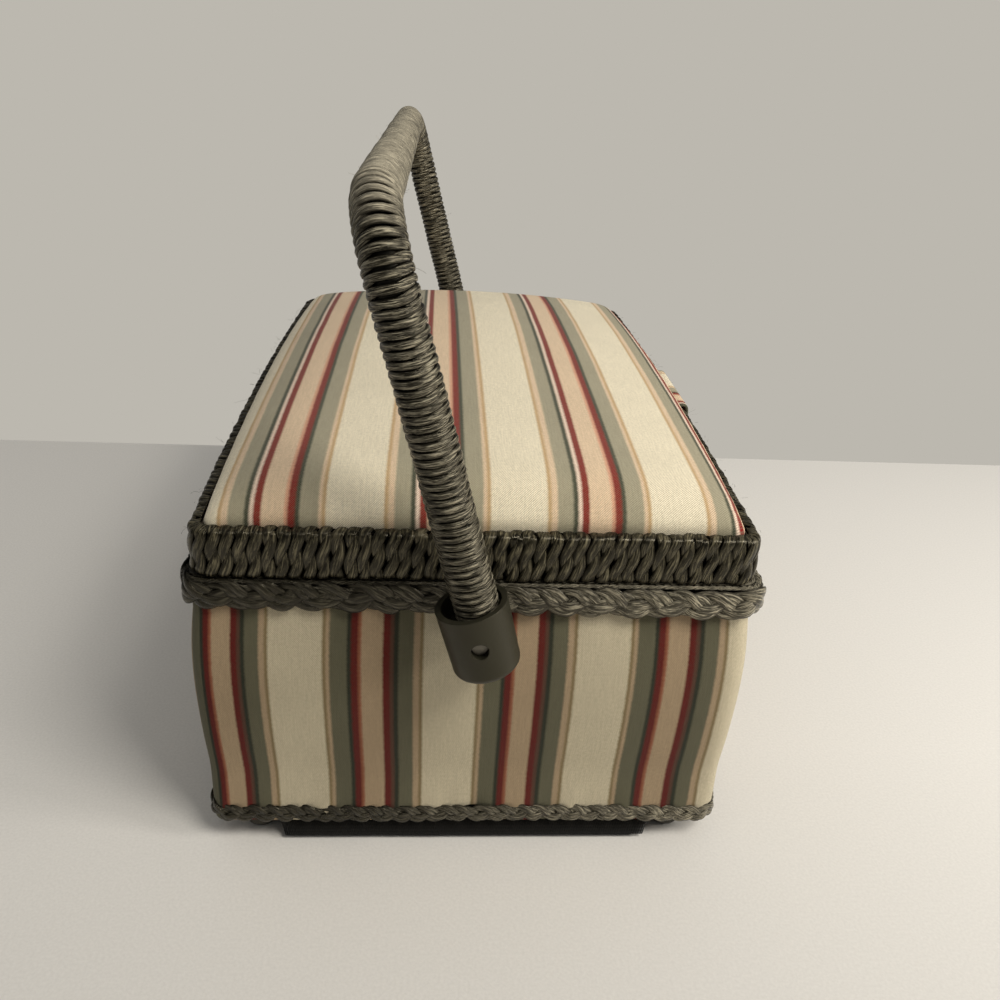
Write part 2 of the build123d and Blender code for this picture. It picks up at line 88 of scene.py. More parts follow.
# ----- colours and node helpers
def srgb(red, green, blue):
    """Linear colour with alpha from 0-255 sRGB values."""
    def linear(value):
        value /= 255
        return value / 12.92 if value <= 0.04045 else ((value + 0.055) / 1.055) ** 2.4
    return (linear(red), linear(green), linear(blue), 1)


class Nodes:
    """Short names for the nodes of one tree. A value that isn't a socket is set on the input itself."""

    def __init__(self, tree):
        self.tree = tree

    def node(self, kind, inputs={}, **settings):
        node = self.tree.nodes.new("ShaderNode" + kind)
        for key, value in settings.items():
            setattr(node, key, value)
        for key, value in inputs.items():
            if isinstance(value, bpy.types.NodeSocket):
                self.tree.links.new(value, node.inputs[key])
            else:
                node.inputs[key].default_value = value
        return node

    def calc(self, operation, *values):
        return self.node("Math", dict(enumerate(values)), operation=operation).outputs[0]

    def times(self, a, b):
        return self.calc("MULTIPLY", a, b)

    def mix(self, factor, a, b, blend="MIX"):
        inputs = {0: factor, 6: a, 7: b}
        return self.node("Mix", inputs, data_type="RGBA", blend_type=blend).outputs[2]

    def place(self):
        """Object coordinates, which stay with the piece at every pose."""
        return self.node("TexCoord").outputs["Object"]

    def uv(self, across, along):
        """The UV map, stretched."""
        inputs = {"Vector": self.node("UVMap").outputs[0], "Scale": (across, along, 1)}
        return self.node("Mapping", inputs).outputs[0]

    def parts(self, vector):
        return self.node("SeparateXYZ", {"Vector": vector}).outputs

    def uv_parts(self):
        return self.parts(self.node("UVMap").outputs[0])[:2]

    def noise(self, vector, scale, detail, roughness=0.5):
        inputs = {"Vector": vector, "Scale": scale, "Detail": detail, "Roughness": roughness}
        return self.node("TexNoise", inputs).outputs[0]

    def spread(self, value, low, high, to_low=0.0, to_high=1.0):
        inputs = {"Value": value, "From Min": low, "From Max": high, "To Min": to_low, "To Max": to_high}
        return self.node("MapRange", inputs).outputs[0]


class Material(Nodes):
    """A principled material whose inputs are set or linked by name."""

    def __init__(self, name, roughness, metallic=0.0, specular=0.5):
        self.data = bpy.data.materials.new(name)
        self.data.use_nodes = True
        super().__init__(self.data.node_tree)
        self.shader = self.tree.nodes["Principled BSDF"]
        self.set("Roughness", roughness)
        self.set("Metallic", metallic)
        self.set("Specular IOR Level", specular)

    def set(self, name, value):
        self.shader.inputs[name].default_value = value

    def link(self, socket, name):
        self.tree.links.new(socket, self.shader.inputs[name])

    def bump(self, height, depth):
        """Bump of a 0-1 height, depth millimetres deep, laid over earlier bumps."""
        node = self.node("Bump", {"Height": height, "Distance": depth * MM, "Strength": 1.0})
        before = self.shader.inputs["Normal"]
        if before.is_linked:
            self.tree.links.new(before.links[0].from_socket, node.inputs["Normal"])
        self.tree.links.new(node.outputs[0], before)


# ----- fabric
STRIPE_PERIOD = 53.1  # distance across the cloth in which the pattern repeats
STRIPE_BLUR = 0.9  # width over which one band turns into the next
CREAM = srgb(230, 219, 192)
TAN = srgb(192, 160, 116)
BLUSH = srgb(218, 192, 160)
SAGE = srgb(158, 151, 127)
GREEN = srgb(58, 64, 49)
WHITE = srgb(230, 206, 184)
RED = srgb(125, 22, 16)
SALMON = srgb(212, 156, 126)
WEFT = srgb(206, 192, 160)
# darker copies of some band colours for the walls' cloth: painted shade of the walls, which get less light
# than the lid
WALL_SHADED_COLOURS = {WHITE: srgb(112, 78, 62), BLUSH: srgb(200, 178, 148), SAGE: srgb(126, 123, 101),
             SALMON: srgb(172, 112, 84), TAN: srgb(162, 144, 108), RED: srgb(122, 22, 14)}
STRIPES = (  # where each band starts, from the middle of a red pair
    (-26.55, CREAM), (-18.1, TAN), (-16.9, BLUSH), (-14.8, SAGE), (-9.6, GREEN), (-8.0, WHITE),
    (-6.7, RED), (-4.3, BLUSH), (3.1, SALMON), (4.2, RED), (6.5, GREEN), (7.9, SAGE),
    (13.9, BLUSH), (15.1, TAN), (16.3, CREAM))


def stripe_ramp(mat, across, depth, shade_swaps):
    """Colour of the striped cloth at a distance across it, in metres. A depth over 1 darkens the bands, and a
    dictionary of swaps gives darker colours for some of them: both are painted shade."""
    share = mat.calc("DIVIDE", across, STRIPE_PERIOD * MM)
    share = mat.calc("FRACT", mat.calc("ADD", share, 0.5))
    node = mat.node("ValToRGB", {"Fac": share})
    ramp = node.color_ramp
    half = 0.5 * STRIPE_BLUR / STRIPE_PERIOD
    # painted shade: darker swapped colours, and every band deepened where depth is over 1
    bands = [(shade_swaps or {}).get(colour, colour) for _, colour in STRIPES]
    deepened_bands = [tuple(c ** depth for c in colour[:3]) + (1,) for colour in bands]
    ramp.elements[0].color = ramp.elements[1].color = deepened_bands[0]
    for (start, _), before, colour in zip(STRIPES[1:], deepened_bands, deepened_bands[1:]):
        edge = start / STRIPE_PERIOD + 0.5
        ramp.elements.new(edge - half).color = before
        ramp.elements.new(edge + half).color = colour
    return node.outputs[0]


def cloth(name, colour=None, thread=0.8, depth=0.10, shade_depth=1.0, mixed=0.3, painted_shade_level=1.0, shade_swaps=None):
    """Twill cloth with uneven yarn and slight soiling, striped where no colour is given. thread is the width
    of a rib, mixed the share of pale weft in its hollows; a soiling level under 1 darkens the whole cloth as
    painted shade."""
    mat = Material(name, roughness=0.85, specular=0.2)
    across, along = mat.uv_parts()
    turns = TURN / (thread * MM)
    slub = mat.noise(mat.uv(260, 900), 1.0, 2)
    shift = mat.spread(slub, 0.3, 0.7, -0.12 * MM, 0.12 * MM)
    base = colour or stripe_ramp(mat, mat.calc("ADD", across, shift), shade_depth, shade_swaps)
    rib = mat.calc("SINE", mat.times(mat.calc("SUBTRACT", across, along), turns))
    pick = mat.calc("SINE", mat.times(along, 1.9 * turns))
    weave = mat.spread(mat.calc("MULTIPLY_ADD", pick, 0.4, rib), -1.4, 1.4)
    uneven = mat.noise(mat.uv(900, 900), 1.0, 2)
    weave = mat.calc("ADD", mat.spread(uneven, 0.3, 0.7, -0.11, 0.11), weave)
    yarn = mat.noise(mat.uv(1700, 110), 1.0, 3)
    soil = mat.noise(mat.place(), 24, 4, 0.6)
    base = mat.mix(mat.spread(weave, 0.5, 0.1, 0, mixed), base, WEFT)
    shade = mat.times(mat.spread(weave, 0, 0.75, 0.58, 1.12),
                          mat.spread(yarn, 0.3, 0.7, 0.93, 1.05))
    # random soiling; a level under 1 also darkens the whole cloth, which is painted shade
    shade = mat.times(shade, mat.spread(soil, 0.3, 0.75, 0.95 * painted_shade_level, 1.03 * painted_shade_level))
    mat.link(mat.mix(1.0, base, shade, "MULTIPLY"), "Base Color")
    mat.bump(weave, depth)
    mat.bump(yarn, 0.05)
    mat.set("Sheen Weight", 0.1)
    mat.set("Sheen Roughness", 0.4)
    return mat.data


# ----- cord, plastic, metal, board
# colour of the painted sheen on cord where the light falls most
PAINTED_SHEEN_CORD = srgb(214, 204, 180)


def cord_material(name, dark, middle, light, roughness=0.25, gloss=0.45, pale=None):
    """Glossy cord with a painted highlight of pale fibres along each ply's crest, and painted shade where
    plies meet. pale holds the axis along which the cord is painted paler where the light falls most, a
    painted sheen, with where that starts and ends, the share of pale crest fibres before it, and how far it
    goes."""
    mat = Material(name, roughness=roughness, specular=gloss)
    round_ply, _ = mat.uv_parts()
    angle = mat.times(mat.calc("ADD", round_ply, -0.25), TURN)
    outer = mat.calc("COSINE", angle)
    fibre = mat.noise(mat.uv(19, 170), 1.0, 3, 0.7)
    strip = mat.noise(mat.uv(3, 60), 1.0, 2)
    patch = mat.noise(mat.place(), 150, 3, 0.6)
    base = mat.mix(mat.spread(patch, 0.35, 0.65), dark, middle)
    # painted highlight: paler fibres along the outward crest of each ply
    crest = mat.times(mat.spread(outer, 0.1, 0.95), mat.spread(fibre, 0.47, 0.7))
    if pale:
        axis, start, end, before, share = pale
        place = mat.parts(mat.place())[axis]
        crest = mat.times(crest, mat.spread(place, start, end, before, 1.0))
    base = mat.mix(crest, base, light)
    # painted sheen: paler cord along the given axis, where the light falls most
    if pale:
        painted_sheen = mat.times(mat.spread(place, start, end),
                             mat.spread(fibre, 0.3, 0.65, 0.4 * share, share))
        base = mat.mix(painted_sheen, base, PAINTED_SHEEN_CORD)
    # painted shade where the plies meet
    shade = mat.times(mat.spread(outer, -0.1, 0.8, 0.12, 1.0),
                          mat.spread(fibre, 0.25, 0.6, 0.6, 1.0))
    mat.link(mat.mix(1.0, base, shade, "MULTIPLY"), "Base Color")
    mat.link(mat.spread(strip, 0.3, 0.7, roughness + 0.14, roughness - 0.07), "Roughness")
    mat.bump(fibre, 0.28)
    mat.set("Specular Tint", srgb(255, 244, 216))
    return mat.data


def plastic(name, colour):
    """Moulded plastic with a faint orange-peel grain, rubbed patches and edges that catch the light."""
    roughness = 0.42
    mat = Material(name, roughness, specular=0.45)
    grain = mat.noise(mat.place(), 900, 2)
    rub = mat.noise(mat.place(), 70, 5, 0.65)
    light = tuple(min(1, 1.5 * c + 0.006) for c in colour[:3]) + (1,)
    mat.link(mat.mix(mat.spread(rub, 0.4, 0.8, 0, 0.6), colour, light), "Base Color")
    mat.link(mat.spread(rub, 0.35, 0.7, roughness - 0.07, roughness + 0.12), "Roughness")
    mat.link(mat.node("Bevel", {"Radius": 0.6 * MM}).outputs[0], "Normal")
    mat.bump(grain, 0.03)
    mat.set("Specular Tint", srgb(255, 244, 214))
    return mat.data


def metal(name, colour, roughness=0.34):
    """Plain worked metal, brushed and a little tarnished."""
    mat = Material(name, roughness=roughness, metallic=1.0)
    scratch = mat.noise(mat.place(), 700, 4, 0.7)
    tarnish = mat.noise(mat.place(), 120, 4, 0.6)
    dull = tuple(0.55 * c for c in colour[:3]) + (1,)
    mat.link(mat.mix(mat.spread(tarnish, 0.45, 0.75), colour, dull), "Base Color")
    mat.link(mat.spread(scratch, 0.3, 0.7, roughness - 0.06, roughness + 0.16), "Roughness")
    mat.bump(scratch, 0.015)
    return mat.data


def board_material(name, dark, light):
    """Fibreboard with a coarse grain."""
    mat = Material(name, roughness=0.85, specular=0.2)
    fibre = mat.noise(mat.place(), 500, 5, 0.7)
    mat.link(mat.mix(mat.spread(fibre, 0.3, 0.7), dark, light), "Base Color")
    mat.bump(fibre, 0.12)
    return mat.data


# ----- mesh helpers
def cad(node):
    """Lowest and highest corners of a CAD node, in millimetres."""
    low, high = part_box(node)
    return low / MM, high / MM


def middle_of(node):
    low, high = cad(node)
    return (low + high) / 2


def grid(rows, columns, wrap_rows, wrap_columns):
    """Quads of a grid of points, and each quad corner's row and column before wrapping."""
    r, c = np.meshgrid(np.arange(rows if wrap_rows else rows - 1),
                       np.arange(columns if wrap_columns else columns - 1), indexing="ij")
    corners = np.stack([np.stack([r, c], -1), np.stack([r, c + 1], -1),
                        np.stack([r + 1, c + 1], -1), np.stack([r + 1, c], -1)], 2).reshape(-1, 4, 2)
    return corners[..., 0] % rows * columns + corners[..., 1] % columns, corners


class Surface:
    """Collects grids of points into one mesh with a UV map in metres."""

    def __init__(self):
        self.points, self.faces, self.uvs, self.count = [], [], [], 0

    def add(self, points, across, along, wrap_rows=False, wrap_columns=False, caps=False, flip=False):
        """points is rows x columns x 3; across and along give the UVs, one longer where the grid wraps."""
        rows, columns = points.shape[:2]
        index, corners = grid(rows, columns, wrap_rows, wrap_columns)
        across, along = np.asarray(across, float), np.asarray(along, float)
        where = (corners[..., 0], corners[..., 1])
        u = across[where] if across.ndim == 2 else across[corners[..., 1]]
        v = along[where] if along.ndim == 2 else along[corners[..., 0]]
        uv = np.stack([u, v], -1)
        if flip:
            index, uv = index[:, ::-1], uv[:, ::-1]
        self.points.append(points.reshape(-1, 3))
        self.faces += (index + self.count).tolist()
        self.uvs.append(uv.reshape(-1, 2))
        if caps:
            first = list(range(self.count, self.count + columns))
            last = [i + (rows - 1) * columns for i in first]
            for cap in (first if flip else first[::-1], last[::-1] if flip else last):
                self.faces.append(cap)
                self.uvs.append(np.zeros((columns, 2)))
        self.count += rows * columns

    def tube(self, rings, along, across=0.0):
        """Tube of rings along a line: closed into a loop where along is one longer, otherwise capped."""
        sides = rings.shape[1]
        loop = len(along) > len(rings)
        self.add(rings, np.arange(sides + 1) / sides / MM + across, along, wrap_rows=loop, wrap_columns=True,
                 caps=not loop, flip=loop)

    def polygon(self, points, across, along):
        """One flat face."""
        self.points.append(points)
        self.faces.append(list(range(self.count, self.count + len(points))))
        self.uvs.append(np.stack([across, along], -1))
        self.count += len(points)

    def make(self, name, body, slot, material, replaces=(), weld=False):
        """The mesh as a piece that rides a body, where one is given, and stands in for CAD nodes."""
        mesh = bpy.data.meshes.new(name)
        mesh.from_pydata((np.concatenate(self.points) * MM).tolist(), [], self.faces)
        layer = mesh.uv_layers.new(name="UVMap")
        layer.data.foreach_set("uv", (np.concatenate(self.uvs) * MM).astype(np.float32).ravel())
        mesh.polygons.foreach_set("use_smooth", np.ones(len(mesh.polygons), bool))
        mesh.materials.append(material)
        if weld:
            work = bmesh.new()
            work.from_mesh(mesh)
            bmesh.ops.remove_doubles(work, verts=work.verts, dist=1e-6)
            work.to_mesh(mesh)
            work.free()
        piece = bpy.data.objects.new(name, mesh)
        bpy.context.scene.collection.objects.link(piece)
        if body:
            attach(piece, body)
        if replaces:
            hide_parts(*replaces)
        return piece


def ring_length(half_w, half_l, radius):
    """Length of a rounded rectangle's outline."""
    return 4 * (half_w - radius) + 4 * (half_l - radius) + TURN * radius


def ring(half_w, half_l, radius, s):
    """Points of a rounded rectangle and its outward normals, at distances s from the near end's middle
    by way of +X."""
    a, b, q = half_w - radius, half_l - radius, math.pi / 2 * radius
    knots = np.cumsum([0, a, q, 2 * b, q, 2 * a, q, 2 * b, q, a])
    s = np.mod(s, knots[-1])
    turn = np.radians(np.interp(s, knots, [-90, -90, 0, 0, 90, 90, 180, 180, 270, 270]))
    normal = np.stack([np.cos(turn), np.sin(turn)], -1)
    x = np.interp(s, knots, [0, a, a, a, a, -a, -a, -a, -a, 0])
    y = np.interp(s, knots, [-b, -b, -b, b, b, b, b, -b, -b, -b])
    return np.stack([x, y], -1) + radius * normal, normal


def round_ring(outline, share):
    """Points and normals of an outline at shares of the whole way round."""
    return ring(*outline, share * ring_length(*outline))


def grown(outline, by):
    """An outline's half width, half length and corner radius, each larger by a distance."""
    return [size + by for size in outline]


def lifted(plan, height=0.0):
    """Points or directions of a plan as 3-D ones, all at a height or each at its own."""
    return np.column_stack([plan, np.broadcast_to(height, len(plan))])


def unit(vectors):
    return vectors / np.linalg.norm(vectors, axis=-1, keepdims=True)


def run_length(line):
    """Distance along a line of points, at each of them."""
    return np.append(0, np.cumsum(np.linalg.norm(np.diff(line, axis=0), axis=1)))


def closed(values):
    """Values of a loop with the first once more at the end."""
    return np.append(values, values[0])


def ease(share):
    """From 0 to 1 with a soft start and a soft end."""
    share = np.clip(share, 0, 1)
    return share ** 2 * (3 - 2 * share)


def bell(distance, width):
    """1 at no distance, falling off smoothly on both sides."""
    return np.exp(-(distance / width) ** 2)


def slab(lower, upper, u, v, thick):
    """Closed slab between two grids of points."""
    surface = Surface()
    surface.add(upper, u, v)
    surface.add(lower, u, v, flip=True)
    edges = (np.s_[0, :], False), (np.s_[-1, :], True), (np.s_[:, 0], True), (np.s_[:, -1], False)
    for edge, flip in edges:
        surface.add(np.stack([lower[edge], upper[edge]]), u[edge] + v[edge], [0, thick], flip=flip)
    return surface


def resampled(values, along, s):
    """Values known at distances along a line, at other distances s."""
    return np.stack([np.interp(s, along, column) for column in values.T], -1)


def smooth_noise(values, seed, waves=5):
    """A few seeded sines added up, between about -1 and 1, for gentle unevenness."""
    own = np.random.default_rng(seed)
    total = 0
    for k in range(1, waves + 1):
        total = total + np.sin(values * k * own.uniform(0.7, 1.3) + own.uniform(0, 6.3)) / k
    return total / 1.6


def loop_noise(share, most, seed):
    """Seeded sines that meet themselves after one turn, with whole numbers of waves up to most."""
    own = np.random.default_rng(seed)
    waves = own.integers(max(1, most // 3), most + 1, 6)
    return sum(np.sin(TURN * n * share + own.uniform(0, 6.3)) for n in waves) / 2.6


def tube_ring(centre, side, up, width, depth, sides):
    """Rings of points round a path; side and up are unit vectors across it."""
    angle = TURN * np.arange(sides) / sides
    return (centre[:, None] + side[:, None] * (width[:, None] * np.cos(angle))[..., None]
            + up[:, None] * (depth[:, None] * np.sin(angle))[..., None])


# ----- lid
LID_BOW = 3.0  # how far the lid's long sides bow out between its corners
PAD_DOME = 22.0  # top of the padding above the rim, at its middle
LID_STRIPE_AT = -13.05  # middle of a red pair on the lid, as distance over the cloth
BODY_STRIPE_AT = 17.2  # and on the near end of the walls
LID_STRETCH = 1.016  # the lid's cloth is pulled this much wider than the walls'
PAD_COLUMNS, PAD_ROWS = 171, 251


def bowed(points, half_l):
    """Move points near the lid's long sides outwards, most at half its length."""
    points = points.copy()
    x, y = points[..., 0], points[..., 1]
    near_side = ease((np.abs(x) - 55) / 35)
    points[..., 0] += np.sign(x) * LID_BOW * np.clip(1 - (y / half_l) ** 2, 0, 1) * near_side
    return points


def end_height(inward, half_l, shoulder, width):
    """Height of the padding above the rim, at a distance inwards from one end."""
    steep = shoulder * (1 - np.exp(-inward / width)) ** 0.7
    return steep + (PAD_DOME - shoulder) * (1 - (1 - np.clip(inward / half_l, 0, 1)) ** 2)


def side_share(inward, half_w):
    """Share of that height left, at a distance inwards from a long side."""
    return (0.55 * (1 - np.exp(-inward / 4)) ** 0.6
            + 0.45 * (1 - (1 - np.clip(inward / half_w, 0, 1)) ** 2))


def crowded(count):
    """Values from -1 to 1 that lie closer towards both ends."""
    even = np.linspace(-1, 1, count)
    return np.sign(even) * (1 - (1 - np.abs(even)) ** 1.9)


def lid_pad(material):
    """Crowned, stuffed lid top: steep at the near end, easier at the far end and along the sides."""
    low, high = cad("lid_pad")
    rim_top = cad("lid_rim_wrap")[1].z - 0.8
    half_w, half_l, corner = high.x, high.y, 4.0
    flat_x, flat_y = np.meshgrid(half_w * crowded(PAD_COLUMNS), half_l * crowded(PAD_ROWS))
    inward_x, inward_y = half_w - np.abs(flat_x), half_l - np.abs(flat_y)
    near, far = (end_height(inward_y, half_l, *end) for end in ((15.5, 5.5), (12.0, 6.0)))
    height = np.where(flat_y < 0, near, far) * side_share(inward_x, half_w)
    # small hollows in the stuffing, and puckers where the cloth goes under the rim
    edge = np.minimum(inward_x, inward_y)
    hollow = 0.3 * smooth_noise(flat_x / 19 + flat_y / 47, 5) * smooth_noise(flat_y / 27, 6)
    height += hollow * np.clip(edge / 25, 0, 1)
    pucker = (smooth_noise(flat_x / 3.1, 7, 4) * np.exp(-inward_y / 5)
              + smooth_noise(flat_y / 3.3, 8, 4) * np.exp(-inward_x / 5))
    height += 0.22 * pucker * np.clip(edge / 1.5, 0, 1)
    # round the corners of the plan
    a, b = half_w - corner, half_l - corner
    p, q = np.clip((np.abs(flat_x) - a) / corner, 0, 1), np.clip((np.abs(flat_y) - b) / corner, 0, 1)
    x = np.where(p > 0, np.sign(flat_x) * (a + corner * p * np.sqrt(1 - q * q / 2)), flat_x)
    y = np.where(q > 0, np.sign(flat_y) * (b + corner * q * np.sqrt(1 - p * p / 2)), flat_y)
    # the padding bulges over the rim at the near end
    y = y - 1.2 * bell(height - 4.5, 4) * (flat_y < 0) * (inward_y < 7)
    top = bowed(np.stack([x, y, rim_top + height], -1), half_l)
    step_u = np.hypot(np.diff(top[..., 0], axis=1), np.diff(top[..., 2], axis=1))
    step_v = np.hypot(np.diff(top[..., 1], axis=0), np.diff(top[..., 2], axis=0))
    u = np.pad(np.cumsum(step_u, 1), ((0, 0), (1, 0)))
    v = np.pad(np.cumsum(step_v, 0), ((1, 0), (0, 0)))
    middle_u, middle_v = u[:, PAD_COLUMNS // 2, None], v[None, PAD_ROWS // 2]
    u, v = (u - middle_u) / LID_STRETCH, v - middle_v
    surface = Surface()
    surface.add(top, u - LID_STRIPE_AT, v)
    # tucked edge inside the rim, down to the lid board
    loop = [np.s_[0, :], np.s_[:, -1], np.s_[-1, ::-1], np.s_[::-1, 0]]
    rim, rim_u, rim_v = (np.concatenate([values[line][:-1] for line in loop]) for values in (top, u, v))
    foot = rim.copy()
    foot[:, 2] = low.z + 0.4
    surface.add(np.stack([foot, rim]), np.stack([closed(rim_u)] * 2) - LID_STRIPE_AT,
                np.stack([closed(rim_v)] * 2), wrap_columns=True)
    surface.polygon(foot[::-1], (rim_u - LID_STRIPE_AT)[::-1], rim_v[::-1])
    piece = surface.make("lid_cushion", "lid", "striped_fabric", material, ["lid_pad"], weld=True)


# ----- wound rim
RIM_PITCH = 4.45  # between neighbouring turns, on the outside
RIM_TWIST = 19.0  # length of cord in which its plies go round once
RIM_OUT = 1.5  # middle of the cord, out from the frame
RIM_BEND_R = 1.1  # where the cord goes over the frame's edges
RIM_TUCK = 2.2  # cord that lies on the frame's top
SLANT = 0.09  # how far each turn leans along the rim, per length
FRAME_CORNER = 4.8  # in plan


def path_of_legs(start, heading, legs, step):
    """Points and headings of a flat path of straight and curved legs, each (length, turn in degrees)."""
    points, headings = [np.array(start, float)], [heading]
    for length, turn in legs:
        count = max(1, math.ceil(length / step))
        for _ in range(count):
            middle = math.radians(headings[-1] + turn / count / 2)
            points.append(points[-1] + length / count * np.array([math.cos(middle), math.sin(middle)]))
            headings.append(headings[-1] + turn / count)
    return np.array(points), np.radians(headings)


def stray_fibres(surface, starts, outwards, reach):
    """Short broken fibres that stand off a cord."""
    count = 7
    thin = np.full(count, 0.045)
    step = np.linspace(0, 1, count)[:, None]
    for start, outward in zip(starts, outwards):
        lie = chance.normal(0, 1, 3)
        curl = chance.normal(0, 0.5, 3)
        size = reach * chance.uniform(0.4, 1)
        bend = 0.5 * outward * step * (1.6 - step) + 0.5 * lie * step + 0.4 * curl * step ** 2
        line = start + size * bend
        side, up = (np.tile(unit(v), (count, 1)) for v in (np.cross(outward, lie), outward))
        surface.add(tube_ring(line, side, up, thin, thin, 3), np.full(4, 0.25 / MM), np.arange(count),
                    wrap_columns=True, caps=True)


def shade_band(name, body, outline, profile, material, half_l=None):
    """Thin near-black band behind a cord, painted shade that fills the gaps between its turns and lobes:
    profile holds (outwards, height) pairs, and half_l bows its sides.
    """
    count = 480
    share = np.arange(count) / count
    points = np.stack([lifted(round_ring(grown(outline, outwards), share)[0], z) for outwards, z in profile])
    if half_l:
        points = bowed(points, half_l)
    surface = Surface()
    across = np.full(count + 1, 0.75 / MM)
    surface.add(points, across, np.arange(len(points) + 1), wrap_rows=True, wrap_columns=True, flip=True)
    surface.make(name, body, "cord", material)


def rim_cord(material, shadow):
    """Two-ply cord wound close round the lid's frame: over its top edge, down outside and under."""
    surface = Surface()
    low, high = cad("lid_rim_wrap")
    face_w, face_l, _ = cad("lid_frame")[1]
    frame_outline = face_w, face_l, FRAME_CORNER
    # turns lie side by side on the outside, so they are spaced there
    outer = grown(frame_outline, RIM_OUT)
    length = ring_length(*outer)
    count = round(length / RIM_PITCH)
    pitch = length / count
    bend = math.pi / 2 * RIM_BEND_R
    top = high.z - 1.05
    for k in range(count):
        # the cord keeps clear of the hinges' leaves under the lid
        hinge_side = ring(*outer, (k + 0.5) * pitch)[1][0] < -0.3
        bottom = low.z + (0.25 if hinge_side else -0.6)
        fall = top - bottom - 0.85 - 2 * RIM_BEND_R
        legs = [(RIM_TUCK, 0), (bend, -90), (fall, 0), (bend, -90), (2.0, 0)]
        flat, heading = path_of_legs((-RIM_TUCK, top), 0, legs, 0.8)
        along = np.linspace(0, 1, len(flat)) * sum(leg[0] for leg in legs)
        wobble = chance.normal(0, 0.13) + 0.16 * np.sin(along / 9 + chance.uniform(0, 6.3))
        s = (k + 0.5) * pitch + wobble - SLANT * (along - 11)
        ground, normal = ring(*outer, s)
        ground = ground - RIM_OUT * normal
        out = lifted(normal)
        tangent = np.cross(UP, out)
        centre = bowed(lifted(ground, flat[:, 1]) + out * flat[:, :1], face_l)
        # across the cord, away from the frame
        away = out * -np.sin(heading)[:, None] + UP * np.cos(heading)[:, None]
        phase = TURN * along / (RIM_TWIST * chance.uniform(0.92, 1.08)) + chance.uniform(0, TURN)
        size = chance.uniform(0.95, 1.06)
        flatten = 1 - 0.35 * bell(along - 3, 3)
        for ply in (0, math.pi):
            turn = phase + ply
            middle = (centre + tangent * (0.95 * np.cos(turn))[:, None]
                      + away * (0.5 * flatten * np.sin(turn))[:, None])
            width = size * (1.58 + 0.62 * np.sin(turn))
            depth = flatten * (0.86 + 0.1 * np.sin(turn))
            rings = tube_ring(middle, tangent, away, width, depth, 12)
            surface.tube(rings, along, 3 * k / MM)
    fibres = 260
    shown = chance.uniform(0, length, fibres)
    ground, normal = ring(*grown(frame_outline, 2.3), shown)
    height = chance.choice([high.z - 0.8, low.z + 3, low.z + 9], fibres)
    stray_fibres(surface, bowed(lifted(ground, height), face_l), lifted(normal, 0.5), 3.2)
    # near-black band behind the turns: painted shade in the gaps
    shade_band("rim_shade_band", "lid", (face_w, face_l, 4.0),
            [(-2.6, high.z - 1.1), (-2.6, high.z - 0.9), (-0.2, high.z - 0.9), (0.45, high.z - 1.5),
             (0.45, low.z + 0.9), (-0.2, low.z + 0.3), (-2.9, low.z + 0.3), (-2.9, low.z + 0.45),
             (0.1, low.z + 0.6), (0.1, high.z - 1.2)], shadow, face_l)
    surface.make("lid_rim_cord", "lid", "cord", material, ["lid_rim_wrap"])


# ----- plaits
BRAID_OUT = 3.2  # the upper plait's solid stands out this far from the walls
WALL_CORNER = 6.0
# half width, half length and corner radius of the walls, and of the cloth drawn in under the lower plait
WALLS = cad("upper_braid")[1].x - BRAID_OUT, cad("upper_braid")[1].y - BRAID_OUT, WALL_CORNER
WALLS_FOOT = WALLS[0] - 1.0, WALLS[1] - 1.0, WALL_CORNER
EDGING_Z = 116.75  # height of the cords over the walls' top edge
EDGING = ((-1.25, 1.3, 0.35), (0.75, 0.92, 0), (2.4, 0.92, 0))  # inwards, half width, below that height


def twisted_plies(surface, centre, across, out, half, thickness, roll, along):
    """Three plies twisted together along a closed line."""
    for ply in range(3):
        twist = roll + TURN * ply / 3
        middle = (centre + across * (0.5 * half * np.cos(twist))[:, None]
                  + out * (0.4 * thickness * np.sin(twist))[:, None])
        rings = tube_ring(middle, across, out, half * (0.56 + 0.1 * np.sin(twist)),
                          thickness * (0.66 + 0.06 * np.sin(twist)), 9)
        surface.tube(rings, along)


def top_edging(surface):
    """Flat twisted cords that cover the top edge of the walls and the upper side of the plait."""
    for inward, wide, down in EDGING:
        outline = grown(WALLS, -inward)
        length = ring_length(*outline)
        rows = int(length / 0.9)
        s = length * np.arange(rows) / rows
        ground, normal = ring(*outline, s)
        half = wide * (1 + 0.05 * loop_noise(s / length, 60, 90 + int(10 * inward)))
        twisted_plies(surface, lifted(ground, EDGING_Z - down), lifted(normal), np.tile(UP, (rows, 1)), half,
                      np.full(rows, 0.42), TURN * round(length / 8) * s / length, np.append(s, length))


